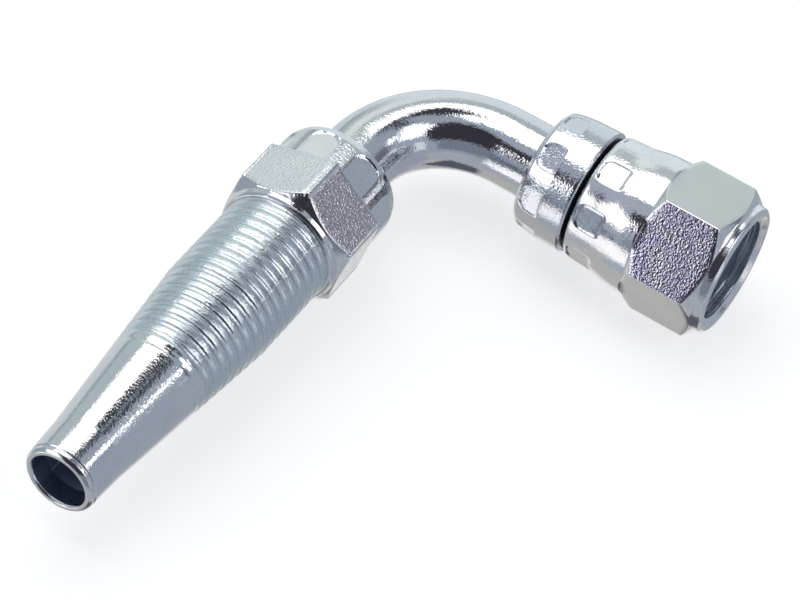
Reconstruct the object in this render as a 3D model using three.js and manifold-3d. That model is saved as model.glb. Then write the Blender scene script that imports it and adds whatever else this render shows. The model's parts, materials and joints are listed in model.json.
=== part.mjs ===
import * as THREE from 'three';
import { mergeVertices } from 'three/addons/utils/BufferGeometryUtils.js';
import Module from 'manifold-3d';

// A 90 degree hose tail with a swivel nut, in millimetres.
// Both axes meet at a corner point: the nut's axis runs along +X from it, the tail's along -Y.
// A station is a distance from that corner along one of the two axes.

// Swivel nut
const nutAcrossFlats = 27;
const nutCornerAngle = 52;
const nutFront = 70.3;
const nutSkirtEnd = 40;
const nutHexStart = 53.4;
const nutHexEnd = 66.1;
const nutThreadMajor = 22.225;
const nutThreadMinor = 20.4;
const nutLipBore = 19.8;
const nutChamber = 22.6;
const nutChamberEnd = 48.6;
const nutSkirtRadius = 12.7;
const nutFlareStart = 46;
const nutFlareEnd = 51;
const nutBarrelRadius = 13.8;
const nutMouthStart = 68;
const nutMouthRadius = 13;
const nutCrimpFlat = 12.45;
const nutCrimpEnd = 47;
const nutCrimpAngle = 19;

// Swivel head
const headStart = 28.4;
const headCollarRadius = 12.5;
const headCrimpRadius = 12.05;
const headStep = 34;
const headGroove = 39;
const headNeckRadius = 9.6;
const headShoulderStart = 43.6;
const headShoulderEnd = 47.5;
const headShoulderRadius = 11;
const headNoseRadius = 9.8;
const headNoseEnd = 57.5;
const seatHalfAngle = 37;
const seatMouthRadius = 9;
const headRoll = { rise: 1.8, inward: 1.5 };
const headCrimpFlat = 11.55;
const headCrimpAngle = 31;

// Elbow tube
const tubeRadius = 7.5;
const tubeWall = 2;
const bendRadius = 21;
const socketDepth = 9;

// Hose nipple
const tailAcrossFlats = 25;
const tailCornerAngle = 18;
const tailStart = 26.2;
const tailCollarRadius = 12.4;
const tailHexStart = 35.8;
const tailChamferStart = 45.2;
const tailHexEnd = 49;
const tailThreadRadius = 11.25;
const tailConeStart = 68.5;
const tailConeEnd = 108.5;
const tailTipRadius = 7.35;
const tailEnd = 117.2;
const tailRoll = { rise: 2.1, inward: 2 };
const tailChamferRadius = 12.5;
const tailRingRadius = 12.1;
const tailNoseRadius = 7.2;
const tailNoseLength = 2.8;
const tailLipRadius = 6.2;
const tailCrimpFlat = 11.85;
const tailCrimpAngle = 13;

// Shared
const boreRadius = 5.5;
const gap = 0.3;
const crimpCount = 8;
const sides = 48;
const edge = 0.5;
const overlap = 0.1;
const clearRadius = 15;

const wasm = await Module();
wasm.setup();

const zinc = {
  bright: { color: 0xc6ccd0, roughness: 0.22, metalness: 1 },
  grey: { color: 0xb4babc, roughness: 0.3, metalness: 1 },
};

function toSolid(geometry) {
  const bare = geometry.clone();
  bare.deleteAttribute('normal');
  bare.deleteAttribute('uv');
  const merged = mergeVertices(bare, 1e-5);
  const mesh = new wasm.Mesh({
    numProp: 3,
    vertProperties: new Float32Array(merged.attributes.position.array),
    triVerts: new Uint32Array(merged.index.array),
  });
  return new wasm.Manifold(mesh);
}

function toGeometry(solid) {
  const mesh = solid.getMesh();
  const geometry = new THREE.BufferGeometry();
  geometry.setAttribute('position', new THREE.BufferAttribute(new Float32Array(mesh.vertProperties), 3));
  geometry.setIndex(new THREE.BufferAttribute(new Uint32Array(mesh.triVerts), 1));
  geometry.computeVertexNormals();
  return geometry;
}

// A ring turned from a closed outline of [station, radius] points: the outside first, then the bore.
function turned(outline) {
  const points = [...outline, outline[0]].map(([station, radius]) => new THREE.Vector2(radius, station));
  return toSolid(new THREE.LatheGeometry(points, sides));
}

// A prism about the station axis with one corner at the given angle from the reference direction.
function prism(count, cornerRadius, start, end, cornerAngle) {
  const geometry = new THREE.CylinderGeometry(cornerRadius, cornerRadius, end - start, count);
  geometry.translate(0, (start + end) / 2, 0);
  geometry.rotateY(THREE.MathUtils.degToRad(cornerAngle + 90));
  return toSolid(geometry);
}

function hexagon(acrossFlats, start, end, cornerAngle) {
  return prism(6, acrossFlats / Math.sqrt(3), start, end, cornerAngle);
}

// The room that a ring of flat crimp marks leaves: round outside the marks, flat sided along them.
function crimpRoom(flatRadius, start, end, markAngle) {
  const cornerRadius = flatRadius / Math.cos(Math.PI / crimpCount);
  return prism(crimpCount, cornerRadius, start, end, markAngle + 180 / crimpCount);
}

function round(radius, start, end) {
  return prism(sides, radius, start, end, 0);
}

// Points on a quarter round between two outline points, for a rolled edge.
function rolledEdge(station, radius, { rise, inward }, count = 4) {
  return Array.from({ length: count + 1 }, (unused, i) => {
    const turn = (i / count) * Math.PI / 2;
    return [station + rise * (1 - Math.cos(turn)), radius - inward * (1 - Math.sin(turn))];
  });
}

function makeNut() {
  const cornerRadius = nutAcrossFlats / Math.sqrt(3);
  const thread = nutThreadMinor / 2;
  const outline = [
    [nutSkirtEnd, nutSkirtRadius - 0.7],
    [nutSkirtEnd + edge, nutSkirtRadius - 0.2],
    [nutSkirtEnd + 2.5, nutSkirtRadius],
    [nutFlareStart, nutSkirtRadius + 0.25],
    [nutFlareStart + 2, nutBarrelRadius - 0.4],
    [nutFlareEnd, nutBarrelRadius - 0.1],
    [nutHexStart, nutBarrelRadius],
    [nutHexStart + 2, cornerRadius + overlap],
    [nutHexEnd, cornerRadius + overlap],
    [nutMouthStart + 0.7, nutMouthRadius + 0.2],
    [nutFront - 0.6, nutMouthRadius],
    [nutFront, nutMouthRadius - 0.7],
    [nutFront, nutThreadMajor / 2],
    [nutFront - 0.95, thread],
    [nutChamberEnd + 1.1, thread],
    [nutChamberEnd, nutChamber / 2],
    [headShoulderStart - gap, nutChamber / 2],
    [headShoulderStart - gap, nutLipBore / 2],
    [nutSkirtEnd, nutLipBore / 2],
  ];
  const hexFoot = nutHexStart + 0.3;
  const room = crimpRoom(nutCrimpFlat, nutSkirtEnd - 1, nutCrimpEnd, nutCrimpAngle)
    .add(round(clearRadius, nutCrimpEnd - overlap, hexFoot + overlap))
    .add(hexagon(nutAcrossFlats, hexFoot, nutMouthStart, nutCornerAngle))
    .add(round(clearRadius, nutMouthStart - overlap, nutFront + 1));
  return toGeometry(turned(outline).intersect(room));
}

function makeHead() {
  const seatDepth = (seatMouthRadius - boreRadius) / Math.tan(THREE.MathUtils.degToRad(seatHalfAngle));
  const socketEnd = headStart + socketDepth + gap;
  const outline = [
    ...rolledEdge(headStart, headCrimpRadius, headRoll),
    [headStep - 0.4, headCrimpRadius],
    [headStep, headCollarRadius],
    [headGroove - 0.6, headCollarRadius + 0.1],
    [headGroove, headCollarRadius - edge],
    [headGroove, headNeckRadius],
    [headShoulderStart, headNeckRadius],
    [headShoulderStart, headShoulderRadius],
    [headShoulderEnd, headShoulderRadius],
    [headShoulderEnd + 1.2, headNoseRadius],
    [headNoseEnd - 0.4, headNoseRadius],
    [headNoseEnd, headNoseRadius - 0.4],
    [headNoseEnd, seatMouthRadius],
    [headNoseEnd - seatDepth, boreRadius],
    [socketEnd, boreRadius],
    [socketEnd, tubeRadius + gap],
    [headStart, tubeRadius + gap],
  ];
  const room = crimpRoom(headCrimpFlat, headStart - 1, headStep, headCrimpAngle)
    .add(round(clearRadius, headStep - overlap, headNoseEnd + 1));
  return toGeometry(turned(outline).intersect(room));
}

function makeNipple() {
  const socketEnd = tailStart + socketDepth + gap;
  const outline = [
    ...rolledEdge(tailStart, tailCollarRadius, tailRoll),
    [tailHexStart, tailCollarRadius],
    [tailHexStart, clearRadius],
    [tailChamferStart, clearRadius - 0.5],
    [tailChamferStart + 1.8, tailChamferRadius],
    [tailHexEnd - 0.4, tailRingRadius],
    [tailHexEnd, tailRingRadius - 0.2],
    [tailHexEnd, tailThreadRadius],
    [tailConeStart, tailThreadRadius],
    [tailConeEnd, tailTipRadius],
    [tailEnd - tailNoseLength, tailNoseRadius],
    [tailEnd - 1.6, tailNoseRadius - 0.25],
    [tailEnd - edge, tailLipRadius + 0.3],
    [tailEnd, tailLipRadius],
    [tailEnd, boreRadius + 0.2],
    [tailEnd - edge, boreRadius],
    [socketEnd, boreRadius],
    [socketEnd, tubeRadius + gap],
    [tailStart, tubeRadius + gap],
  ];
  const ringStart = tailHexEnd - edge;
  const ringRoom = tailChamferRadius + 0.4;
  const room = crimpRoom(tailCrimpFlat, tailStart - 1, tailHexStart, tailCrimpAngle)
    .add(hexagon(tailAcrossFlats, tailHexStart, ringStart, tailCornerAngle))
    .add(round(ringRoom, ringStart - overlap, tailEnd + 1));
  return toGeometry(turned(outline).intersect(room));
}

// The quarter bend between the two straight ends of the tube.
class Bend extends THREE.Curve {
  getPoint(t, target = new THREE.Vector3()) {
    const turn = t * Math.PI / 2;
    return target.set(bendRadius * (1 - Math.cos(turn)), -bendRadius * (1 - Math.sin(turn)), 0);
  }
}

function makeTube() {
  const route = new THREE.CurvePath();
  const tailTip = new THREE.Vector3(0, -(tailStart + socketDepth), 0);
  const headTip = new THREE.Vector3(headStart + socketDepth, 0, 0);
  route.add(new THREE.LineCurve3(tailTip, new THREE.Vector3(0, -bendRadius, 0)));
  route.add(new Bend());
  route.add(new THREE.LineCurve3(new THREE.Vector3(bendRadius, 0, 0), headTip));
  const section = new THREE.Shape().absarc(0, 0, tubeRadius, 0, 2 * Math.PI);
  section.holes.push(new THREE.Path().absarc(0, 0, tubeRadius - tubeWall, 0, 2 * Math.PI));
  return new THREE.ExtrudeGeometry(section, { extrudePath: route, steps: 24, curveSegments: 14 });
}

function node(name, geometry, finish) {
  const mesh = new THREE.Mesh(geometry, new THREE.MeshStandardMaterial(finish));
  mesh.name = name;
  return mesh;
}

// Lays a piece made about +Y along the nut's axis, with its reference direction at +Y.
const alongNutAxis = new THREE.Group();
alongNutAxis.rotation.set(0, 0, -Math.PI / 2);
alongNutAxis.add(node('swivel_nut', makeNut(), zinc.bright));
alongNutAxis.add(node('swivel_head', makeHead(), zinc.grey));

// Lays a piece made about +Y along the tail's axis, with its reference direction at +X.
const alongTailAxis = new THREE.Group();
alongTailAxis.rotation.set(Math.PI, 0, 0);
alongTailAxis.add(node('hose_nipple', makeNipple(), zinc.bright));

const fitting = new THREE.Group();
fitting.add(alongNutAxis, alongTailAxis, node('elbow_tube', makeTube(), zinc.bright));

// Stands the fitting on its lowest corners, centred on the origin.
const size = new THREE.Box3().setFromObject(fitting);
const middle = size.getCenter(new THREE.Vector3());
fitting.position.set(-middle.x, -middle.y, -size.min.z);

const part = new THREE.Group();
part.add(fitting);

export default part;
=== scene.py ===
import json
import math

import bmesh
import bpy
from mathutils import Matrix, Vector


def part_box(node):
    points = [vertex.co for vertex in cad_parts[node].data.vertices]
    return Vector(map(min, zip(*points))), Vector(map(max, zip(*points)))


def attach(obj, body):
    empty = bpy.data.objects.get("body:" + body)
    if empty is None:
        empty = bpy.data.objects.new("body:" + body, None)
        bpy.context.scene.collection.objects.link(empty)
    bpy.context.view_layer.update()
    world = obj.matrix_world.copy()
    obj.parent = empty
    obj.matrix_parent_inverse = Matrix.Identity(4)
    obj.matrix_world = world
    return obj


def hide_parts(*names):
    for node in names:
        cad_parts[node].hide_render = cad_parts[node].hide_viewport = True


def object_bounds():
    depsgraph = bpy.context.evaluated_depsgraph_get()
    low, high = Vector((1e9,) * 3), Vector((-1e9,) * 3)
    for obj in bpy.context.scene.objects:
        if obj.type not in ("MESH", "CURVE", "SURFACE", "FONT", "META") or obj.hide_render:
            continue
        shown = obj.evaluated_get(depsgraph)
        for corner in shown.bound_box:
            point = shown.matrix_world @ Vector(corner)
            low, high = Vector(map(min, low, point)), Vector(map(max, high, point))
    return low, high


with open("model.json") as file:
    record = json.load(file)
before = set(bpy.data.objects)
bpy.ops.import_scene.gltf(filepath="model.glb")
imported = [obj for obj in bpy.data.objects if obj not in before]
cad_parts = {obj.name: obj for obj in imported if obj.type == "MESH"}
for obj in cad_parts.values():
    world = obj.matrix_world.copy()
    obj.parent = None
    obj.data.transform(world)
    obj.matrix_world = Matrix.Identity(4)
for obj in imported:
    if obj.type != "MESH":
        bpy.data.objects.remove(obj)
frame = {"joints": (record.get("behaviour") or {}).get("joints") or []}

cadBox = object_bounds()
mm = 0.001
mmPerMetre = 1000.0

# both axes of the elbow cross at this corner: the nut's axis runs along +X, the tail's along -Y
swivelJoint = frame["joints"][0]
corner = Vector(swivelJoint["pos_m"])
nutEnd = (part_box("swivel_nut")[1].x - corner.x) / mm
tailEnd = (corner.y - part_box("hose_nipple")[0].y) / mm
print("frame loaded, nut end", round(nutEnd, 2), "tail end", round(tailEnd, 2))

# every outline holds (station, radius) in mm, with the station measured from the corner
# these radii and cuts are shared by the pieces: lengths in mm, angles in degrees
boreRadius = 5.5
socketRadius = 7.8
brokenEdge = 0.1
sharpAngle = 32
mergeReach = 0.0015
flatReach = 0.001


def smooth(low, high, value):
    share = min(1, max(0, (value - low) / (high - low)))
    return share * share * (3 - 2 * share)


def mix(a, b, share):
    return a + (b - a) * share


def nearest(turn, centre, spacing):
    # signed angle in degrees from the nearest of the evenly spaced centres
    return (turn - centre + spacing / 2) % spacing - spacing / 2


def roundedOutline(points, longest):
    # points are (station, radius, edge radius): each corner becomes a small arc, long runs are split
    arcSteps = 4
    runShare = 0.48
    outline = []
    for i, (station, radius, edge) in enumerate(points):
        here = Vector((station, radius))
        if edge > 0 and 0 < i < len(points) - 1:
            back = Vector(points[i - 1][:2]) - here
            ahead = Vector(points[i + 1][:2]) - here
            half = back.angle(ahead) / 2
            reach = min(edge / math.tan(half), back.length * runShare, ahead.length * runShare)
            arc = reach * math.tan(half)
            middle = here + (back.normalized() + ahead.normalized()).normalized() * (arc / math.sin(half))
            first = here + back.normalized() * reach - middle
            last = here + ahead.normalized() * reach - middle
            for k in range(arcSteps + 1):
                spoke = first.lerp(last, k / arcSteps).normalized() * arc
                outline.append(middle + spoke)
        else:
            outline.append(here)
    split = [outline[0]]
    for point in outline[1:]:
        run = point - split[-1]
        count = max(1, math.ceil(run.length / longest))
        start = split[-1].copy()
        split += [start + run * (k / count) for k in range(1, count + 1)]
    return [(p.x, p.y) for p in split]


def flowingOutline(points, step):
    # an even curve through the points, for skirts that swell without a hard edge
    places = [Vector(point) for point in points]
    outline = []
    for i in range(len(places) - 1):
        before = places[max(0, i - 1)]
        start = places[i]
        end = places[i + 1]
        after = places[min(len(places) - 1, i + 2)]
        count = max(1, math.ceil((end - start).length / step))
        for k in range(count):
            share = k / count
            bend = (end - before) * share + (before * 2 - start * 5 + end * 4 - after) * share ** 2
            bend += (start * 3 - before - end * 3 + after) * share ** 3
            outline.append(tuple(start + bend / 2))
    outline.append(tuple(places[-1]))
    return outline


def hexRadius(turn, flats, edge):
    # distance to a hexagon with rounded corners, turn measured from a corner
    apothem = flats / 2
    off = abs(nearest(turn, 0, 60))
    centre = (apothem - edge) / math.cos(math.radians(30))
    side = centre * math.sin(math.radians(off))
    flat = apothem / math.cos(math.radians(30 - off))
    if side < edge:
        rounded = centre * math.cos(math.radians(off)) + math.sqrt(edge * edge - side * side)
        return min(flat, rounded)
    return flat


def turnList(step, places, offsets):
    # even steps round the axis, with closer ones at the given places
    extra = sorted({round((place + offset) % 360, 4) for place in places for offset in offsets})
    even = [k * step for k in range(round(360 / step))]
    crowded = step * 0.4
    keep = [turn for turn in even if min(abs(nearest(turn, other, 360)) for other in extra) > crowded]
    return sorted(extra + keep)


def punchMark(station, turn, radius, mark):
    # how deep a punched flat is at this place: a flat floor inside a rounded outline, and a thin raised lip
    lipPlace = 0.4
    lipSpread = 0.6
    off = abs(nearest(turn, mark["angle"], 360 / mark["count"]))
    across = math.radians(off) * radius - mark["width"] / 2
    middle = (mark["start"] + mark["end"]) / 2
    toBack = station < middle
    along = abs(station - middle) - (mark["end"] - mark["start"]) / 2
    soft = mark["backCorner"] if toBack else mark["frontCorner"]
    within = min(max(across, along) + soft, 0)
    outside = math.hypot(max(across + soft, 0), max(along + soft, 0)) + within - soft
    floor = (radius - mark["depth"]) / math.cos(math.radians(off))
    inside = 1 - smooth(-mark["wall"], 0, outside)
    lip = mark["lip"] * math.exp(-((outside - mark["wall"] * lipPlace) / (mark["wall"] * lipSpread)) ** 2)
    return max(0, radius - floor) * inside - lip


def helixRows(turn, thread, radiusAt):
    # the thread's rows climb one pitch per turn; they stay on the plain radius where the thread runs out
    first = thread["start"]
    last = thread["end"]
    cycles = math.ceil((last - first) / thread["pitch"]) + 1
    rows = []
    for cycle in range(cycles):
        for share, depth in thread["form"]:
            station = first + (cycle + share + turn / 360 - 1) * thread["pitch"]
            station = min(last, max(first, station))
            fadeIn = smooth(first, first + thread["runIn"], station)
            fadeOut = 1 - smooth(last - thread["runOut"], last, station)
            rows.append((station, radiusAt(station) - thread["depth"] * depth * fadeIn * fadeOut))
    rows.append((last, radiusAt(last)))
    return rows


def radiusOn(outline):
    # the radius of an outline at any station
    def radiusAt(station):
        for (s0, r0), (s1, r1) in zip(outline, outline[1:]):
            if s0 <= station <= s1 and s1 > s0:
                return mix(r0, r1, (station - s0) / (s1 - s0))
        return outline[0][1] if station < outline[0][0] else outline[-1][1]
    return radiusAt


def edgeRows(before, here, after, reach):
    # three rows that break the edge at one point of a column
    runShare = 0.3
    pull = 0.3
    here = Vector(here)
    reach = min(reach, (Vector(before) - here).length * runShare)
    back = (Vector(before) - here).normalized() * reach
    ahead = (Vector(after) - here).normalized() * reach
    middle = here + (back + ahead) * pull
    return [tuple(here + back), tuple(middle), tuple(here + ahead)]


def betweenRows(start, end, count):
    # evenly spaced rows between two points, without the points themselves
    shares = [k / (count + 1) for k in range(1, count + 1)]
    return [(mix(start[0], end[0], share), mix(start[1], end[1], share)) for share in shares]


def buildTurned(name, axis, turns, columns, finishes, helix, finishAt=None):
    # columns[j] is the closed outline at turns[j]; helix is (first row, last row, rows per turn)
    # finishes holds one finish per row, and finishAt can change it for some turns
    mesh = bpy.data.meshes.new(name)
    piece = bpy.data.objects.new(name, mesh)
    bpy.context.scene.collection.objects.link(piece)
    shape = bmesh.new()
    grid = []
    for turn, column in zip(turns, columns):
        across = math.cos(math.radians(turn))
        rise = math.sin(math.radians(turn))
        if axis == "nut":
            places = [(s, r * across, r * rise) for s, r in column]
        else:
            places = [(r * across, -s, r * rise) for s, r in column]
        grid.append([shape.verts.new(corner + Vector(place) * mm) for place in places])
    rowCount = len(columns[0])
    for j in range(len(turns)):
        here = grid[j]
        following = grid[(j + 1) % len(turns)]
        match = list(range(rowCount))
        if helix and j == len(turns) - 1:
            firstRow, lastRow, perTurn = helix
            for i in range(firstRow, lastRow + 1):
                match[i] = min(lastRow, max(firstRow, i + perTurn))
        for i in range(rowCount):
            k = (i + 1) % rowCount
            ring = list(dict.fromkeys([here[i], here[k], following[match[k]], following[match[i]]]))
            if len(ring) > 2:
                face = shape.faces.new(ring)
                face.material_index = finishAt(turns[j], finishes[i]) if finishAt else finishes[i]
                face.smooth = True
    bmesh.ops.remove_doubles(shape, verts=shape.verts, dist=mergeReach * mm)
    bmesh.ops.dissolve_degenerate(shape, edges=shape.edges, dist=flatReach * mm)
    bmesh.ops.recalc_face_normals(shape, faces=shape.faces)
    if shape.calc_volume(signed=True) < 0:
        bmesh.ops.reverse_faces(shape, faces=shape.faces)
    loose = sum(not edge.is_manifold for edge in shape.edges)
    shape.to_mesh(mesh)
    shape.free()
    mesh.set_sharp_from_angle(angle=math.radians(sharpAngle))
    print(name, len(mesh.polygons), "faces,", loose, "open edges")
    return piece


# lengths in mm, angles in degrees; outline points are (station, radius, edge radius), but the skirt is a
# flowing curve without edge radii
nut = {
    "flats": 27.0,
    "cornerAngle": 52.0,
    "grainySide": 1,
    "edge": 0.42,
    "hexStart": 53.6,
    "hexEnd": 68.05,
    "barrel": 13.8,
    "rearSlope": 1.0,
    "frontSlope": 1.27,
    "footStep": 0.12,
    "minor": 10.2,
    "turnStep": 1.5,
    "rimEnd": 40.3,
    "rim": [(40.0, 10.3, 0), (40.0, 11.9, 0.35), (40.4, 12.3, 0)],
    "skirt": [(40.4, 12.3), (41.0, 12.55), (42.8, 12.72), (44.8, 12.82), (46.4, 13.02), (48.2, 13.4),
              (50.4, 13.7), (53.3, 13.8)],
    "front": [(68.4, 13.28, 0), (68.9, 13.12, 0.4), (69.75, 13.0, 0.5), (nutEnd, 12.35, 0.35),
              (nutEnd, 11.65, 0.3), (69.42, 10.75, 0.3), (69.42, 10.2, 0)],
    "back": [(49.6, 10.2, 0), (48.6, 11.3, 0.2), (43.3, 11.3, 0.3), (43.3, 9.9, 0.2), (40.15, 9.9, 0.15),
             (40.0, 10.1, 0)],
    "mark": {"angle": 19.0, "count": 8, "radius": 12.8, "width": 5.2, "start": 40.9, "end": 46.7,
             "depth": 0.36, "backCorner": 1.8, "frontCorner": 1.0, "wall": 0.45, "lip": 0.03},
    "thread": {"start": 49.7, "end": 69.4, "pitch": 1.814, "depth": -0.91, "runIn": 0.6, "runOut": 0.06,
               "form": [(0, 0), (0.24, 0), (0.29, 0.12), (0.53, 0.92), (0.57, 1), (0.68, 1), (0.72, 0.92),
                        (0.96, 0.12)]},
}
cornerSteps = [-1.7, -0.95, -0.45, 0, 0.45, 0.95, 1.7]
markSideSteps = [-1.9, -1.3, -0.7, -0.1, 0.4]


def markTurns(mark):
    return [mark["angle"] + 360 / mark["count"] * k for k in range(mark["count"])]


def markSteps(mark):
    # columns closer together at the two sides of a punched mark
    half = math.degrees(mark["width"] / 2 / mark["radius"])
    return [side * (half + step) for side in (-1, 1) for step in markSideSteps]


def hexColumns(piece):
    # columns closer together at the hexagon's corners and at the sides of the marks
    leastGap = 0.35
    corners = turnList(piece["turnStep"], [piece["cornerAngle"] + 60 * k for k in range(6)], cornerSteps)
    marks = turnList(piece["turnStep"], markTurns(piece["mark"]), markSteps(piece["mark"]))
    between = {turn for turn in marks if min(abs(nearest(turn, other, 360)) for other in corners) > leastGap}
    return sorted(set(corners) | between)


def makeNut():
    plain, grainyFlat, threadAndBore, smoothFlat = range(4)
    mark = nut["mark"]
    rear = roundedOutline(nut["rim"], longest=0.4) + flowingOutline(nut["skirt"], step=0.35)[1:]
    front = roundedOutline(nut["front"], longest=0.3)
    back = roundedOutline(nut["back"], longest=0.8)
    turns = hexColumns(nut)
    columns = []
    for turn in turns:
        radius = hexRadius(turn - nut["cornerAngle"], nut["flats"], nut["edge"])
        column = [(s, r - (punchMark(s, turn, r, mark) if s > nut["rimEnd"] else 0)) for s, r in rear]
        foot = (nut["hexStart"], min(nut["barrel"], radius + nut["footStep"]))
        bevel = max(nut["footStep"], (radius - nut["barrel"]) / nut["rearSlope"])
        rearEdge = (nut["hexStart"] + bevel, radius)
        frontEdge = (nut["hexEnd"] - (radius - nut["flats"] / 2) / nut["frontSlope"], radius)
        column += [foot] + betweenRows(foot, rearEdge, count=2)
        column += edgeRows(foot, rearEdge, frontEdge, brokenEdge)
        bevelRows = len(column)
        column += betweenRows(rearEdge, frontEdge, count=12)
        column += edgeRows(rearEdge, frontEdge, front[0], brokenEdge)
        flatRows = len(column) - 2
        column += betweenRows(frontEdge, front[0], count=2) + front
        firstHelix = len(column)
        column += helixRows(turn, nut["thread"], lambda station: nut["minor"])[::-1]
        lastHelix = len(column) - 1
        column += back
        columns.append(column)
    finishes = [plain] * len(columns[0])
    finishes[bevelRows - 1:flatRows] = [grainyFlat] * (flatRows - bevelRows + 1)
    finishes[firstHelix - 1:] = [threadAndBore] * (len(finishes) - firstHelix + 1)
    helix = (firstHelix, lastHelix, -len(nut["thread"]["form"]))

    def finishAt(turn, finish):
        # only two opposite flats of the bar came out grainy
        side = math.floor((turn - nut["cornerAngle"]) / 60) % 3
        return smoothFlat if finish == grainyFlat and side != nut["grainySide"] else finish
    return buildTurned("swivelNut", "nut", turns, columns, finishes, helix, finishAt)


# the marks lie only on the collar, before its end and outside its radius; the groove, the nose and the seat
# start past a station, the groove and the seat also under a radius
head = {
    "turnStep": 1.5,
    "outside": [(28.4, 8.1, 0), (28.4, 10.6, 0.5), (29.2, 11.7, 1.0), (31.2, 12.12, 2.5), (34.2, 12.45, 2),
                (38.9, 12.6, 0.35), (39.3, 12.2, 0.3), (39.3, 9.6, 0.3), (43.6, 9.6, 0.2), (43.6, 11.0, 0.2),
                (47.5, 11.0, 0.25), (48.7, 9.8, 0.3), (57.1, 9.8, 0.3), (57.5, 9.3, 0.2), (57.5, 9.0, 0.1),
                (52.86, boreRadius, 0.3), (50.0, boreRadius, 0)],
    "inside": [(49.0, boreRadius, 0), (37.7, boreRadius, 0.2), (37.7, socketRadius, 0.2),
               (28.55, socketRadius, 0.15), (28.4, 8.0, 0)],
    "collarEnd": 36.0,
    "collarRadius": 10.7,
    "groove": (39.2, 12.0),
    "nose": 48.5,
    "seat": (52.0, 9.0),
    "mark": {"angle": 31.0, "count": 8, "radius": 12.2, "width": 5.7, "start": 29.6, "end": 34.0,
             "depth": 0.38, "backCorner": 2.0, "frontCorner": 0.5, "wall": 0.36, "lip": 0.03},
}


def rowPast(column, station, below=math.inf):
    # the first row past a station and under a radius
    return next(i for i, (s, r) in enumerate(column) if s > station and r < below)


def makeHead():
    plain, bore, groove = range(3)
    mark = head["mark"]
    outside = roundedOutline(head["outside"], longest=0.45)
    inside = roundedOutline(head["inside"], longest=1.5)
    turns = turnList(head["turnStep"], markTurns(mark), markSteps(mark))
    columns = []
    for turn in turns:
        column = []
        for s, r in outside:
            onCollar = r > head["collarRadius"] and s < head["collarEnd"]
            column.append((s, r - (punchMark(s, turn, r, mark) if onCollar else 0)))
        columns.append(column + inside)
    finishes = [plain] * len(columns[0])
    # the rows from the collar's front face to the nose carry the painted shade finish
    grooveRow = rowPast(columns[0], *head["groove"])
    noseRow = rowPast(columns[0], head["nose"])
    finishes[grooveRow:noseRow] = [groove] * (noseRow - grooveRow)
    boreRow = rowPast(columns[0], *head["seat"])
    finishes[boreRow:] = [bore] * (len(finishes) - boreRow)
    return buildTurned("swivelHead", "nut", turns, columns, finishes, None)


# the marks lie where the collar is wider than collarRadius; the broken edge takes at most footShare of the
# hexagon's foot
nipple = {
    "flats": 25.0,
    "cornerAngle": 18.0,
    "edge": 0.42,
    "hexStart": 35.8,
    "hexEnd": 47.2,
    "frontSlope": 1.23,
    "footShare": 0.4,
    "turnStep": 2.25,
    "collarRadius": 10.6,
    "rear": [(26.2, 8.1, 0), (26.2, 10.3, 0.6), (27.1, 11.8, 1.2), (28.9, 12.35, 2), (35.5, 12.4, 0)],
    "ring": [(47.55, 12.25, 0), (48.4, 12.05, 0.4), (48.95, 11.7, 0.3), (49.0, 11.25, 0)],
    "stem": [(49.1, 11.25, 0), (68.5, 11.25, 4), (108.5, 7.38, 3), (114.0, 7.2, 0)],
    "nose": [(108.5, 7.38, 3), (115.5, 7.08, 0.15), (115.75, 6.84, 0.12), (116.0, 7.0, 0.2),
             (116.55, 6.98, 0.4), (tailEnd, 6.45, 0.45), (tailEnd, 5.75, 0.3), (116.7, boreRadius, 0.3),
             (112.0, boreRadius, 0)],
    "inside": [(110.0, boreRadius, 0), (35.5, boreRadius, 0.2), (35.5, socketRadius, 0.2),
               (26.35, socketRadius, 0.15), (26.2, 8.0, 0)],
    "mark": {"angle": 13.0, "count": 8, "radius": 12.4, "width": 6.4, "start": 28.6, "end": 35.7,
             "depth": 0.42, "backCorner": 2.6, "frontCorner": 0.5, "wall": 0.36, "lip": 0.03},
    "thread": {"start": 49.1, "end": 91.0, "pitch": 2.31, "depth": 0.27, "runIn": 0.5, "runOut": 7.5,
               "form": [(0, 0.04), (0.1, 0), (0.3, 0.01), (0.4, 0.12), (0.48, 0.5), (0.56, 0.88), (0.64, 1),
                        (0.76, 1), (0.84, 0.88), (0.92, 0.5)]},
}


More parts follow.
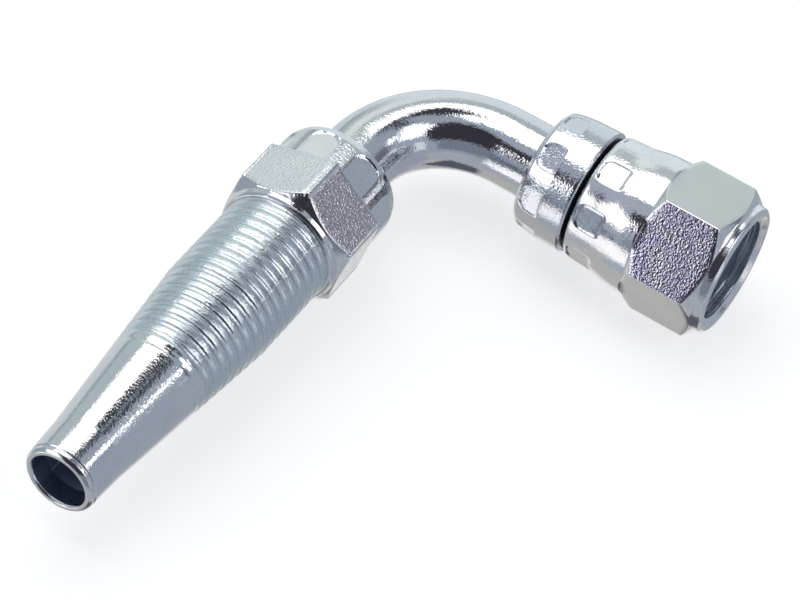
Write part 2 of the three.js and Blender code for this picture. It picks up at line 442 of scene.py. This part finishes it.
def makeNipple():
    plain, flatSide, bore, tailThread = range(4)
    mark = nipple["mark"]
    collar = nipple["collarRadius"]
    thread = nipple["thread"]
    rear = roundedOutline(nipple["rear"], longest=0.35)
    ring = roundedOutline(nipple["ring"], longest=0.3)
    radiusAt = radiusOn(roundedOutline(nipple["stem"], longest=0.5))
    nose = roundedOutline([(thread["end"], radiusAt(thread["end"]), 0)] + nipple["nose"], longest=0.5)
    inside = roundedOutline(nipple["inside"], longest=4)
    turns = hexColumns(nipple)
    columns = []
    for turn in turns:
        radius = hexRadius(turn - nipple["cornerAngle"], nipple["flats"], nipple["edge"])
        column = [(s, r - (punchMark(s, turn, r, mark) if r > collar else 0)) for s, r in rear]
        foot = (nipple["hexStart"], column[-1][1])
        rearEdge = (nipple["hexStart"], radius)
        frontEdge = (nipple["hexEnd"] - (radius - nipple["flats"] / 2) / nipple["frontSlope"], radius)
        footReach = min(brokenEdge, (radius - foot[1]) * nipple["footShare"])
        column += [foot] + edgeRows(foot, rearEdge, frontEdge, footReach)
        bevelRows = len(column)
        column += betweenRows(rearEdge, frontEdge, count=10)
        column += edgeRows(rearEdge, frontEdge, ring[0], brokenEdge)
        flatRows = len(column) - 2
        column += betweenRows(frontEdge, ring[0], count=2) + ring
        firstHelix = len(column)
        column += helixRows(turn, thread, radiusAt)
        lastHelix = len(column) - 1
        column += nose[1:]
        boreRow = len(column) - 3  # the nose's last rows already lie in the bore
        column += inside
        columns.append(column)
    perTurn = len(thread["form"])
    runOutRow = lastHelix - round(thread["runOut"] / thread["pitch"]) * perTurn
    finishes = [plain] * len(columns[0])
    finishes[bevelRows - 1:flatRows] = [flatSide] * (flatRows - bevelRows + 1)
    finishes[boreRow:] = [bore] * (len(finishes) - boreRow)
    finishes[firstHelix:runOutRow] = [tailThread] * (runOutRow - firstHelix)
    return buildTurned("hoseNipple", "tail", turns, columns, finishes, (firstHelix, lastHelix, perTurn))


# lengths in mm; bend is the radius of the tube's centre line; the bent part is oval by the share in oval,
# which it reaches over ovalRamp radians at each end
tube = {
    "radius": 7.5,
    "wall": 2.0,
    "bend": 21.0,
    "tailTip": 35.2,
    "headTip": 37.4,
    "oval": 0.012,
    "ovalRamp": 0.25,
    "sides": 144,
    "step": 0.6,
}


def tubeRoute(step):
    # centre points of the tube with the outward direction of the bend at each
    route = []
    bend = tube["bend"]
    count = round((tube["tailTip"] - bend) / step)
    route += [(Vector((0, -mix(tube["tailTip"], bend, k / count), 0)), 0) for k in range(count)]
    count = round(bend * math.pi / 2 / step)
    for k in range(count + 1):
        turn = math.pi / 2 * k / count
        centre = Vector((bend * (1 - math.cos(turn)), -bend * (1 - math.sin(turn)), 0))
        route.append((centre, turn))
    count = round((tube["headTip"] - bend) / step)
    for k in range(1, count + 1):
        centre = Vector((mix(bend, tube["headTip"], k / count), 0, 0))
        route.append((centre, math.pi / 2))
    return route


def makeTube():
    mesh = bpy.data.meshes.new("elbowTube")
    piece = bpy.data.objects.new("elbowTube", mesh)
    bpy.context.scene.collection.objects.link(piece)
    shape = bmesh.new()
    route = tubeRoute(tube["step"])
    outerSkin, boreSkin = range(2)
    sides = tube["sides"]
    ramp = tube["ovalRamp"]
    quarter = math.pi / 2
    rings = []
    for skin, radius in (("outer", tube["radius"]), ("inner", tube["radius"] - tube["wall"])):
        order = route if skin == "outer" else route[::-1]
        for centre, turn in order:
            outward = Vector((-math.cos(turn), math.sin(turn), 0))
            squeeze = tube["oval"] * smooth(0, ramp, turn) * (1 - smooth(quarter - ramp, quarter, turn))
            ring = []
            for k in range(sides):
                spin = math.tau * k / sides
                upright = Vector((0, 0, math.sin(spin) * (1 + squeeze)))
                place = outward * math.cos(spin) * (1 - squeeze) + upright
                ring.append(shape.verts.new(corner + (centre + place * radius) * mm))
            rings.append(ring)
    for i, ring in enumerate(rings):
        following = rings[(i + 1) % len(rings)]
        for k in range(sides):
            n = (k + 1) % sides
            face = shape.faces.new([ring[k], ring[n], following[n], following[k]])
            face.material_index = outerSkin if i < len(route) - 1 else boreSkin
            face.smooth = True
    bmesh.ops.recalc_face_normals(shape, faces=shape.faces)
    if shape.calc_volume(signed=True) < 0:
        bmesh.ops.reverse_faces(shape, faces=shape.faces)
    shape.to_mesh(mesh)
    shape.free()
    mesh.set_sharp_from_angle(angle=math.radians(sharpAngle))
    print("elbowTube", len(mesh.polygons), "faces")
    return piece


swivelNut = makeNut()
swivelHead = makeHead()
hoseNipple = makeNipple()
elbowTube = makeTube()
print("shapes made")


def addNode(tree, kind, values=None, **settings):
    node = tree.nodes.new(kind)
    for name, value in settings.items():
        setattr(node, name, value)
    for socket, value in (values or {}).items():
        node.inputs[socket].default_value = value
    return node


def startGroup(name, inputs, outputs):
    group = bpy.data.node_groups.new(name, "ShaderNodeTree")
    for label, kind, value in inputs:
        socket = group.interface.new_socket(name=label, in_out="INPUT", socket_type=kind)
        if value is not None:
            socket.default_value = value
    for label, kind in outputs:
        group.interface.new_socket(name=label, in_out="OUTPUT", socket_type=kind)
    return group, group.nodes.new("NodeGroupInput"), group.nodes.new("NodeGroupOutput")


def makePeelGroup():
    # the small hills and pits that plating leaves, on two scales, in mm
    group, source, result = startGroup("platingPeel", [
        ("Place", "NodeSocketVector", None), ("Hill Size", "NodeSocketFloat", 0.6),
        ("Pit Size", "NodeSocketFloat", 0.2), ("Pit Share", "NodeSocketFloat", 0.35)],
        [("Height", "NodeSocketFloat")])
    links = group.links
    hills = addNode(group, "ShaderNodeTexNoise", {"Detail": 1.5, "Roughness": 0.5})
    pits = addNode(group, "ShaderNodeTexNoise", {"Detail": 1.0, "Roughness": 0.5, "Distortion": 0.3})
    for size, texture in (("Hill Size", hills), ("Pit Size", pits)):
        perMetre = addNode(group, "ShaderNodeMath", {0: mmPerMetre}, operation="DIVIDE")
        links.new(source.outputs[size], perMetre.inputs[1])
        links.new(perMetre.outputs[0], texture.inputs["Scale"])
        links.new(source.outputs["Place"], texture.inputs["Vector"])
    blend = addNode(group, "ShaderNodeMix")
    links.new(source.outputs["Pit Share"], blend.inputs["Factor"])
    links.new(hills.outputs["Fac"], blend.inputs["A"])
    links.new(pits.outputs["Fac"], blend.inputs["B"])
    links.new(blend.outputs["Result"], result.inputs["Height"])
    return group


def makeLatheGroup():
    # fine rings left by the lathe; the piece's axis is the place's X, and the radius adds rings on end faces
    radiusShare = 1.7
    group, source, result = startGroup("latheRings", [
        ("Place", "NodeSocketVector", None), ("Rings per mm", "NodeSocketFloat", 5.0)],
        [("Height", "NodeSocketFloat")])
    links = group.links
    parts = addNode(group, "ShaderNodeSeparateXYZ")
    links.new(source.outputs["Place"], parts.inputs[0])
    across = addNode(group, "ShaderNodeCombineXYZ")
    links.new(parts.outputs["Y"], across.inputs["Y"])
    links.new(parts.outputs["Z"], across.inputs["Z"])
    radius = addNode(group, "ShaderNodeVectorMath", operation="LENGTH")
    links.new(across.outputs[0], radius.inputs[0])
    slanted = addNode(group, "ShaderNodeMath", {1: radiusShare}, operation="MULTIPLY_ADD")
    links.new(radius.outputs["Value"], slanted.inputs[0])
    links.new(parts.outputs["X"], slanted.inputs[2])
    perMetre = addNode(group, "ShaderNodeMath", {1: mmPerMetre}, operation="MULTIPLY")
    links.new(source.outputs["Rings per mm"], perMetre.inputs[0])
    count = addNode(group, "ShaderNodeMath", operation="MULTIPLY")
    links.new(slanted.outputs[0], count.inputs[0])
    links.new(perMetre.outputs[0], count.inputs[1])
    rings = addNode(group, "ShaderNodeTexNoise", {"Scale": 1.0, "Detail": 2.0, "Roughness": 0.6},
                    noise_dimensions="1D")
    links.new(count.outputs[0], rings.inputs["W"])
    links.new(rings.outputs["Fac"], result.inputs["Height"])
    return group


def makeFilmGroup():
    # the passivated zinc film: a cool base, drifting towards a tint in clouds and in fine flecks
    group, source, result = startGroup("zincFilm", [
        ("Place", "NodeSocketVector", None), ("Base", "NodeSocketColor", (0.7, 0.73, 0.75, 1)),
        ("Tint", "NodeSocketColor", (0.6, 0.6, 0.7, 1)), ("Cloud Size", "NodeSocketFloat", 6.0),
        ("Fleck Size", "NodeSocketFloat", 0.5), ("Tint Share", "NodeSocketFloat", 0.5)],
        [("Colour", "NodeSocketColor"), ("Cloud", "NodeSocketFloat"), ("Fleck", "NodeSocketFloat")])
    links = group.links
    found = []
    for size, detail in (("Cloud Size", 3.0), ("Fleck Size", 2.0)):
        perMetre = addNode(group, "ShaderNodeMath", {0: mmPerMetre}, operation="DIVIDE")
        texture = addNode(group, "ShaderNodeTexNoise", {"Detail": detail, "Roughness": 0.55})
        spread = addNode(group, "ShaderNodeMapRange", {"From Min": 0.35, "From Max": 0.65},
                         interpolation_type="SMOOTHSTEP")
        links.new(source.outputs[size], perMetre.inputs[1])
        links.new(perMetre.outputs[0], texture.inputs["Scale"])
        links.new(source.outputs["Place"], texture.inputs["Vector"])
        links.new(texture.outputs["Fac"], spread.inputs["Value"])
        found.append(spread.outputs["Result"])
    both = addNode(group, "ShaderNodeMath", operation="ADD")
    links.new(found[0], both.inputs[0])
    links.new(found[1], both.inputs[1])
    half = addNode(group, "ShaderNodeMath", {1: 0.5}, operation="MULTIPLY")
    links.new(both.outputs[0], half.inputs[0])
    share = addNode(group, "ShaderNodeMath", operation="MULTIPLY")
    links.new(half.outputs[0], share.inputs[0])
    links.new(source.outputs["Tint Share"], share.inputs[1])
    colour = addNode(group, "ShaderNodeMix", data_type="RGBA")
    links.new(share.outputs[0], colour.inputs["Factor"])
    links.new(source.outputs["Base"], colour.inputs[6])
    links.new(source.outputs["Tint"], colour.inputs[7])
    links.new(colour.outputs[2], result.inputs["Colour"])
    links.new(found[0], result.inputs["Cloud"])
    links.new(found[1], result.inputs["Fleck"])
    return group


def makeEdgeHighlightGroup():
    # painted highlight along edges: a brighter colour where the shape is sharp, broken up a little
    group, source, result = startGroup("paintedEdgeHighlight", [
        ("Place", "NodeSocketVector", None), ("Sharpness", "NodeSocketFloat", 0.5),
        ("From", "NodeSocketFloat", 0.53), ("To", "NodeSocketFloat", 0.6)], [("Mask", "NodeSocketFloat")])
    links = group.links
    edge = addNode(group, "ShaderNodeMapRange", interpolation_type="SMOOTHSTEP")
    links.new(source.outputs["Sharpness"], edge.inputs["Value"])
    links.new(source.outputs["From"], edge.inputs["From Min"])
    links.new(source.outputs["To"], edge.inputs["From Max"])
    breaks = addNode(group, "ShaderNodeTexNoise", {"Scale": 900.0, "Detail": 2.0})
    links.new(source.outputs["Place"], breaks.inputs["Vector"])
    gaps = addNode(group, "ShaderNodeMapRange", {"From Min": 0.3, "From Max": 0.55, "To Min": 0.35})
    links.new(breaks.outputs["Fac"], gaps.inputs["Value"])
    mask = addNode(group, "ShaderNodeMath", operation="MULTIPLY")
    links.new(edge.outputs["Result"], mask.inputs[0])
    links.new(gaps.outputs["Result"], mask.inputs[1])
    links.new(mask.outputs[0], result.inputs["Mask"])
    return group


groups = {
    "peel": makePeelGroup(),
    "lathe": makeLatheGroup(),
    "film": makeFilmGroup(),
    "edge": makeEdgeHighlightGroup(),
}


def placeGroup(tree, name, values):
    node = tree.nodes.new("ShaderNodeGroup")
    node.node_tree = groups[name]
    for socket, value in values.items():
        node.inputs[socket].default_value = value
    return node


# sizes and depths in mm; each finish below starts from this one
zincFinish = {
    "base": (0.755, 0.768, 0.775, 1),
    "tint": (0.62, 0.63, 0.72, 1),
    "edgeHighlightColour": (0.9, 0.92, 0.93, 1),
    "tintShare": 0.45,
    "cloud": 7.0,
    "fleck": 0.5,
    "smoothRough": 0.07,
    "dullRough": 0.16,
    "hill": 0.7,
    "pit": 0.24,
    "pitShare": 0.5,
    "peelDepth": 0.013,
    "ringsPerMm": 4.0,
    "ringDepth": 0.0006,
    "metal": 1.0,
    "highlightFrom": 0.53,
    "highlightTo": 0.62,
}


def makeZinc(name, axis, changes=None):
    look = dict(zincFinish)
    look.update(changes or {})
    material = bpy.data.materials.new(name)
    material.use_nodes = True
    tree = material.node_tree
    links = tree.links
    shader = tree.nodes["Principled BSDF"]
    shader.inputs["Metallic"].default_value = look["metal"]
    coords = addNode(tree, "ShaderNodeTexCoord")
    placed = addNode(tree, "ShaderNodeVectorMath", {1: tuple(-c for c in corner)}, operation="ADD")
    links.new(coords.outputs["Object"], placed.inputs[0])
    axisPlace = placed
    if axis == "tail":
        axisPlace = addNode(tree, "ShaderNodeVectorRotate", {"Angle": math.pi / 2}, rotation_type="Z_AXIS")
        links.new(placed.outputs[0], axisPlace.inputs["Vector"])

    film = placeGroup(tree, "film", {
        "Base": look["base"], "Tint": look["tint"], "Cloud Size": look["cloud"], "Fleck Size": look["fleck"],
        "Tint Share": look["tintShare"]})
    peel = placeGroup(tree, "peel", {
        "Hill Size": look["hill"], "Pit Size": look["pit"], "Pit Share": look["pitShare"]})
    rings = placeGroup(tree, "lathe", {"Rings per mm": look["ringsPerMm"]})
    edge = placeGroup(tree, "edge", {"From": look["highlightFrom"], "To": look["highlightTo"]})
    shape = addNode(tree, "ShaderNodeNewGeometry")
    links.new(shape.outputs["Pointiness"], edge.inputs["Sharpness"])
    for node in (film, peel, edge):
        links.new(placed.outputs[0], node.inputs["Place"])
    links.new(axisPlace.outputs[0], rings.inputs["Place"])

    # painted highlight: the sharp edges are mixed towards a pale colour
    colour = addNode(tree, "ShaderNodeMix", {7: look["edgeHighlightColour"]}, data_type="RGBA")
    links.new(edge.outputs["Mask"], colour.inputs["Factor"])
    links.new(film.outputs["Colour"], colour.inputs[6])
    links.new(colour.outputs[2], shader.inputs["Base Color"])

    rough = addNode(tree, "ShaderNodeMapRange", {"To Min": look["smoothRough"], "To Max": look["dullRough"]})
    links.new(film.outputs["Cloud"], rough.inputs["Value"])
    links.new(rough.outputs["Result"], shader.inputs["Roughness"])

    peelBump = addNode(tree, "ShaderNodeBump", {"Strength": 1.0, "Distance": look["peelDepth"] * mm})
    ringBump = addNode(tree, "ShaderNodeBump", {"Strength": 1.0, "Distance": look["ringDepth"] * mm})
    links.new(peel.outputs["Height"], peelBump.inputs["Height"])
    links.new(rings.outputs["Height"], ringBump.inputs["Height"])
    links.new(ringBump.outputs["Normal"], peelBump.inputs["Normal"])
    links.new(peelBump.outputs["Normal"], shader.inputs["Normal"])
    return material


stemZinc = makeZinc("stemZinc", "tail", {
    "hill": 1.0, "pit": 0.42, "pitShare": 0.6, "peelDepth": 0.044, "smoothRough": 0.06, "dullRough": 0.12})
tailThreadZinc = makeZinc("tailThreadZinc", "tail", {
    "hill": 0.9, "pit": 0.4, "pitShare": 0.6, "peelDepth": 0.07, "smoothRough": 0.15, "dullRough": 0.26,
    "base": (0.72, 0.765, 0.785, 1), "tint": (0.58, 0.64, 0.7, 1), "tintShare": 0.8})
tailFlatZinc = makeZinc("tailFlatZinc", "tail", {
    "hill": 0.5, "pit": 0.36, "pitShare": 0.65, "peelDepth": 0.085, "ringDepth": 0.0, "smoothRough": 0.12,
    "dullRough": 0.19, "base": (0.8, 0.82, 0.83, 1), "tint": (0.66, 0.66, 0.73, 1)})
tubeZinc = makeZinc("tubeZinc", "tail", {
    "hill": 0.9, "pit": 0.42, "pitShare": 0.6, "peelDepth": 0.042, "ringDepth": 0.0, "smoothRough": 0.05,
    "dullRough": 0.1})
headZinc = makeZinc("headZinc", "nut", {
    "hill": 0.62, "pit": 0.42, "pitShare": 0.65, "peelDepth": 0.062, "smoothRough": 0.06, "dullRough": 0.13,
    "ringDepth": 0.0, "base": (0.7, 0.72, 0.74, 1)})
nutZinc = makeZinc("nutZinc", "nut", {
    "hill": 0.9, "pit": 0.42, "peelDepth": 0.042, "smoothRough": 0.08, "dullRough": 0.16,
    "base": (0.83, 0.825, 0.83, 1)})
nutFlatZinc = makeZinc("nutFlatZinc", "nut", {
    "hill": 0.5, "pit": 0.38, "pitShare": 0.6, "peelDepth": 0.1, "ringDepth": 0.0, "tintShare": 1.0,
    "cloud": 3.0, "fleck": 0.8, "smoothRough": 0.1, "dullRough": 0.15,
    "base": (0.82, 0.82, 0.88, 1), "tint": (0.58, 0.55, 0.78, 1)})
nutSideZinc = makeZinc("nutSideZinc", "nut", {
    "peelDepth": 0.004, "ringDepth": 0.0, "smoothRough": 0.2, "dullRough": 0.26,
    "base": (0.81, 0.815, 0.81, 1), "tint": (0.74, 0.75, 0.74, 1)})
# painted shade: the groove under the nut and the collar's front face get a near-black, barely metallic
# colour for the shade in that gap
grooveShadeZinc = makeZinc("grooveShadeZinc", "nut", {
    "base": (0.05, 0.055, 0.07, 1), "tint": (0.03, 0.03, 0.045, 1), "smoothRough": 0.4, "dullRough": 0.6,
    "metal": 0.2, "highlightFrom": 0.7, "highlightTo": 0.9})
# painted shade: the bores get a dark blue-grey, barely metallic colour for the shade inside them
boreShadeLook = {
    "base": (0.24, 0.30, 0.44, 1), "tint": (0.16, 0.2, 0.32, 1), "smoothRough": 0.35, "dullRough": 0.5,
    "highlightFrom": 0.6, "highlightTo": 0.8, "ringDepth": 0.004, "metal": 0.2}
tailBoreShadeZinc = makeZinc("tailBoreShadeZinc", "tail", boreShadeLook)
nutBoreShadeZinc = makeZinc("nutBoreShadeZinc", "nut", boreShadeLook)
# painted light: a lighter, bluer and partly diffuse zinc, so the shaded thread and bore inside the nut read
# lighter
nutThreadLightenedZinc = makeZinc("nutThreadLightenedZinc", "nut", {
    "base": (0.8, 0.84, 0.88, 1), "tint": (0.56, 0.64, 0.74, 1), "smoothRough": 0.14, "dullRough": 0.22,
    "peelDepth": 0.01, "metal": 0.85})
print("finishes made")

# each piece's finishes stand in the order that its own faces count them
for piece, finishes in (
        (swivelNut, (nutZinc, nutFlatZinc, nutThreadLightenedZinc, nutSideZinc)),
        (swivelHead, (headZinc, nutBoreShadeZinc, grooveShadeZinc)),
        (hoseNipple, (stemZinc, tailFlatZinc, tailBoreShadeZinc, tailThreadZinc)),
        (elbowTube, (tubeZinc, tailBoreShadeZinc))):
    for finish in finishes:
        piece.data.materials.append(finish)

for piece, body, node, slot in (
        (hoseNipple, "fitting", "hose_nipple", "nipple_zinc"),
        (elbowTube, "fitting", "elbow_tube", "tube_zinc"),
        (swivelHead, "fitting", "swivel_head", "head_zinc"),
        (swivelNut, "nut", "swivel_nut", "nut_zinc")):
    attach(piece, body)
    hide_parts(node)
print("pieces plated and riding on their bodies")


# floorSide and clips in m; aim, from the corner, distance, lens and sensor in mm; angles in degrees
studio = {
    "floorSide": 6.0,
    "floorGrey": 0.5,
    "floorRough": 0.85,
    "floorGlow": 0.66,
    "aim": (24.62, -45.21, 0.0),
    "azimuth": 23.135,
    "elevation": 48.670,
    "roll": 11.835,
    "distance": 675.09,
    "lens": 167.99,
    "sensor": 36,
    "clips": (0.01, 50),
    "backdrop": (0.96, 0.96, 0.965, 1),
}

# soft panels of the tent, laid over each other in this order: the azimuth and elevation where each one
# hangs, its half width and half height there and how far its edge fades, all in degrees; shift moves a panel
# sideways and up in its own plane, and power is 1 where none is given
panels = {
    "ground": {"at": (0, -90), "half": (62, 62), "edge": 8, "colour": (0.52, 0.52, 0.51)},
    "backGround": {"at": (-145, -62), "half": (24, 12), "edge": 5, "colour": (0.82, 0.83, 0.84)},
    "rightGround": {"at": (128, -38), "half": (42, 20), "edge": 8, "colour": (0.38, 0.42, 0.48)},
    "frontGround": {"at": (20, -45), "half": (38, 13), "edge": 6, "colour": (0.43, 0.48, 0.54)},
    "underShade": {"at": (0, -90), "shift": (-0.22, -0.22), "half": (20, 18),
                   "edge": 3, "colour": (0.11, 0.12, 0.15)},
    "leftWall": {"at": (-116, 17), "half": (27, 23), "edge": 5, "colour": (0.52, 0.61, 0.63)},
    "leftLine": {"at": (-122, 4), "half": (14, 3), "edge": 3, "colour": (0.34, 0.41, 0.43)},
    "leftGround": {"at": (-118, -24), "half": (28, 22), "edge": 5, "colour": (0.7, 0.75, 0.77)},
    "backLeftWall": {"at": (-164, 2), "half": (22, 27), "edge": 5, "colour": (0.8, 0.89, 0.92)},
    "backWall": {"at": (-162, 40), "half": (24, 12), "edge": 4, "colour": (0.52, 0.58, 0.59)},
    "leftHigh": {"at": (-141, 29), "half": (11, 9), "edge": 3, "colour": (0.86, 0.92, 0.9)},
    "frontGrey": {"at": (22, 0), "half": (38, 16), "edge": 5, "colour": (0.22, 0.25, 0.31)},
    "frontHigh": {"at": (-30, 52), "half": (24, 12), "edge": 4, "colour": (0.43, 0.46, 0.55)},
    "cameraSide": {"at": (30, 41), "half": (40, 25), "edge": 4, "colour": (0.045, 0.042, 0.055)},
    "rightCorner": {"at": (134, 19), "half": (9, 11), "edge": 4, "colour": (0.19, 0.18, 0.22)},
    "darkGap": {"at": (150, 59), "half": (20, 3.4), "edge": 2, "colour": (0.04, 0.04, 0.05)},
    "overhead": {"at": (0, 90), "shift": (-0.46, 0.28), "half": (30, 26.5), "edge": 1.2,
                 "colour": (1.0, 1.0, 1.0), "power": 1.9},
    "overheadBeam": {"at": (0, 90), "shift": (0.06, 0.28), "half": (9.5, 11.5),
                     "edge": 1.5, "colour": (0.05, 0.05, 0.06)},
    "rightLamp": {"at": (96, 41), "half": (14, 16), "edge": 2, "colour": (0.98, 0.98, 1.0), "power": 1.7},
    "smallLamp": {"at": (123, 34), "half": (3, 3.8), "edge": 1.2, "colour": (1.0, 1.0, 1.0), "power": 3.6},
    "lowRightLamp": {"at": (83, 0), "half": (7, 11), "edge": 3, "colour": (0.92, 0.96, 1.0), "power": 0.9},
    "frontLeftLamp": {"at": (-42.5, 27), "half": (20.5, 12), "edge": 1.5,
                      "colour": (1.0, 0.99, 1.0), "power": 1.7},
    "frontLeftGround": {"at": (-34, -20), "half": (22, 13), "edge": 4,
                        "colour": (1.0, 0.99, 1.0), "power": 1.25},
}
tentColour = (0.38, 0.43, 0.50, 1)


def towards(azimuth, elevation):
    side = math.radians(azimuth)
    rise = math.radians(elevation)
    return Vector((math.sin(side) * math.cos(rise), -math.cos(side) * math.cos(rise), math.sin(rise)))


def makePanelGroup():
    # one soft panel of the tent, seen in a direction: bright inside its half width and half height
    leastReach = 0.02
    facingFrom = 0.03
    group, source, result = startGroup("softPanel", [
        ("Direction", "NodeSocketVector", None), ("Facing", "NodeSocketVector", None),
        ("Across", "NodeSocketVector", None), ("Upward", "NodeSocketVector", None),
        ("Half Width", "NodeSocketFloat", 0.3), ("Half Height", "NodeSocketFloat", 0.3),
        ("Edge", "NodeSocketFloat", 0.03), ("Shift Across", "NodeSocketFloat", 0.0),
        ("Shift Up", "NodeSocketFloat", 0.0)], [("Mask", "NodeSocketFloat")])
    links = group.links
    reach = addNode(group, "ShaderNodeVectorMath", operation="DOT_PRODUCT")
    links.new(source.outputs["Direction"], reach.inputs[0])
    links.new(source.outputs["Facing"], reach.inputs[1])
    ahead = addNode(group, "ShaderNodeMath", {1: leastReach}, operation="MAXIMUM")
    links.new(reach.outputs["Value"], ahead.inputs[0])
    masks = []
    for side, half, shift in (
            ("Across", "Half Width", "Shift Across"),
            ("Upward", "Half Height", "Shift Up")):
        along = addNode(group, "ShaderNodeVectorMath", operation="DOT_PRODUCT")
        links.new(source.outputs["Direction"], along.inputs[0])
        links.new(source.outputs[side], along.inputs[1])
        slope = addNode(group, "ShaderNodeMath", operation="DIVIDE")
        links.new(along.outputs["Value"], slope.inputs[0])
        links.new(ahead.outputs[0], slope.inputs[1])
        moved = addNode(group, "ShaderNodeMath", operation="SUBTRACT")
        links.new(slope.outputs[0], moved.inputs[0])
        links.new(source.outputs[shift], moved.inputs[1])
        size = addNode(group, "ShaderNodeMath", operation="ABSOLUTE")
        links.new(moved.outputs[0], size.inputs[0])
        inner = addNode(group, "ShaderNodeMath", operation="SUBTRACT")
        outer = addNode(group, "ShaderNodeMath", operation="ADD")
        for node in (inner, outer):
            links.new(source.outputs[half], node.inputs[0])
            links.new(source.outputs["Edge"], node.inputs[1])
        fade = addNode(group, "ShaderNodeMapRange", {"To Min": 1.0, "To Max": 0.0},
                       interpolation_type="SMOOTHSTEP")
        links.new(size.outputs[0], fade.inputs["Value"])
        links.new(inner.outputs[0], fade.inputs["From Min"])
        links.new(outer.outputs[0], fade.inputs["From Max"])
        masks.append(fade.outputs["Result"])
    facing = addNode(group, "ShaderNodeMath", {1: facingFrom}, operation="GREATER_THAN")
    links.new(reach.outputs["Value"], facing.inputs[0])
    both = addNode(group, "ShaderNodeMath", operation="MULTIPLY")
    links.new(masks[0], both.inputs[0])
    links.new(masks[1], both.inputs[1])
    mask = addNode(group, "ShaderNodeMath", operation="MULTIPLY")
    links.new(both.outputs[0], mask.inputs[0])
    links.new(facing.outputs[0], mask.inputs[1])
    links.new(mask.outputs[0], result.inputs["Mask"])
    return group


def makeTent():
    nearlyUpright = 0.95
    groups["panel"] = makePanelGroup()
    world = bpy.data.worlds.new("tent")
    bpy.context.scene.world = world
    world.use_nodes = True
    tree = world.node_tree
    links = tree.links
    background = tree.nodes["Background"]
    direction = addNode(tree, "ShaderNodeTexCoord").outputs["Generated"]
    light = None
    for name, panel in panels.items():
        facing = towards(*panel["at"])
        upward = Vector((0, 0, 1)) if abs(facing.z) < nearlyUpright else Vector((0, 1, 0))
        across = upward.cross(facing).normalized()
        upward = facing.cross(across).normalized()
        halfWidth, halfHeight = (math.tan(math.radians(angle)) for angle in panel["half"])
        shiftAcross, shiftUp = panel.get("shift", (0, 0))
        mask = placeGroup(tree, "panel", {
            "Facing": facing, "Across": across, "Upward": upward, "Half Width": halfWidth,
            "Half Height": halfHeight, "Edge": math.tan(math.radians(panel["edge"])),
            "Shift Across": shiftAcross, "Shift Up": shiftUp})
        mask.label = name
        links.new(direction, mask.inputs["Direction"])
        bright = tuple(c * panel.get("power", 1) for c in panel["colour"])
        layer = addNode(tree, "ShaderNodeMix", {7: (*bright, 1)}, data_type="RGBA", clamp_factor=True)
        links.new(mask.outputs["Mask"], layer.inputs["Factor"])
        if light is None:
            layer.inputs[6].default_value = tentColour
        else:
            links.new(light, layer.inputs[6])
        light = layer.outputs[2]
    # what the camera sees behind the floor stays plain and pale
    ray = addNode(tree, "ShaderNodeLightPath")
    seen = addNode(tree, "ShaderNodeMix", {7: studio["backdrop"]}, data_type="RGBA")
    links.new(ray.outputs["Is Camera Ray"], seen.inputs["Factor"])
    links.new(light, seen.inputs[6])
    links.new(seen.outputs[2], background.inputs["Color"])


def makeFloor():
    mesh = bpy.data.meshes.new("floor")
    half = studio["floorSide"] / 2
    corners = [(-half, -half, 0), (half, -half, 0), (half, half, 0), (-half, half, 0)]
    mesh.from_pydata(corners, [], [(0, 1, 2, 3)])
    floor = bpy.data.objects.new("floor", mesh)
    bpy.context.scene.collection.objects.link(floor)
    floor.location.z = cadBox[0].z
    material = bpy.data.materials.new("paleFloor")
    material.use_nodes = True
    tree = material.node_tree
    links = tree.links
    shader = tree.nodes["Principled BSDF"]
    grey = studio["floorGrey"]
    shader.inputs["Roughness"].default_value = studio["floorRough"]
    shader.inputs["Emission Color"].default_value = (1, 1, 1, 1)
    shader.inputs["Base Color"].default_value = (grey, grey, grey, 1)
    # the floor's glow is for the camera alone and lights nothing
    ray = addNode(tree, "ShaderNodeLightPath")
    lift = addNode(tree, "ShaderNodeMath", {1: studio["floorGlow"]}, operation="MULTIPLY")
    links.new(ray.outputs["Is Camera Ray"], lift.inputs[0])
    links.new(lift.outputs[0], shader.inputs["Emission Strength"])
    mesh.materials.append(material)
    # the metal mirrors the tent alone, so the floor doesn't flatten its underside
    floor.visible_glossy = False


def makeCamera():
    back = towards(studio["azimuth"], studio["elevation"])
    right = towards(studio["azimuth"] + 90, 0)
    up = back.cross(right)
    roll = math.radians(studio["roll"])
    tiltedRight = right * math.cos(roll) + up * math.sin(roll)
    tiltedUp = up * math.cos(roll) - right * math.sin(roll)
    place = corner + (Vector(studio["aim"]) + back * studio["distance"]) * mm
    data = bpy.data.cameras.new("camera")
    data.lens = studio["lens"]
    data.sensor_width = studio["sensor"]
    data.clip_start, data.clip_end = studio["clips"]
    camera = bpy.data.objects.new("camera", data)
    bpy.context.scene.collection.objects.link(camera)
    matrix = camera.matrix_world.copy()
    for column, vector in enumerate((tiltedRight, tiltedUp, back, place)):
        for row in range(3):
            matrix[row][column] = vector[row]
    camera.matrix_world = matrix
    bpy.context.scene.camera = camera


makeTent()
makeFloor()
makeCamera()
bpy.context.scene.view_settings.view_transform = "Standard"
print("studio set")
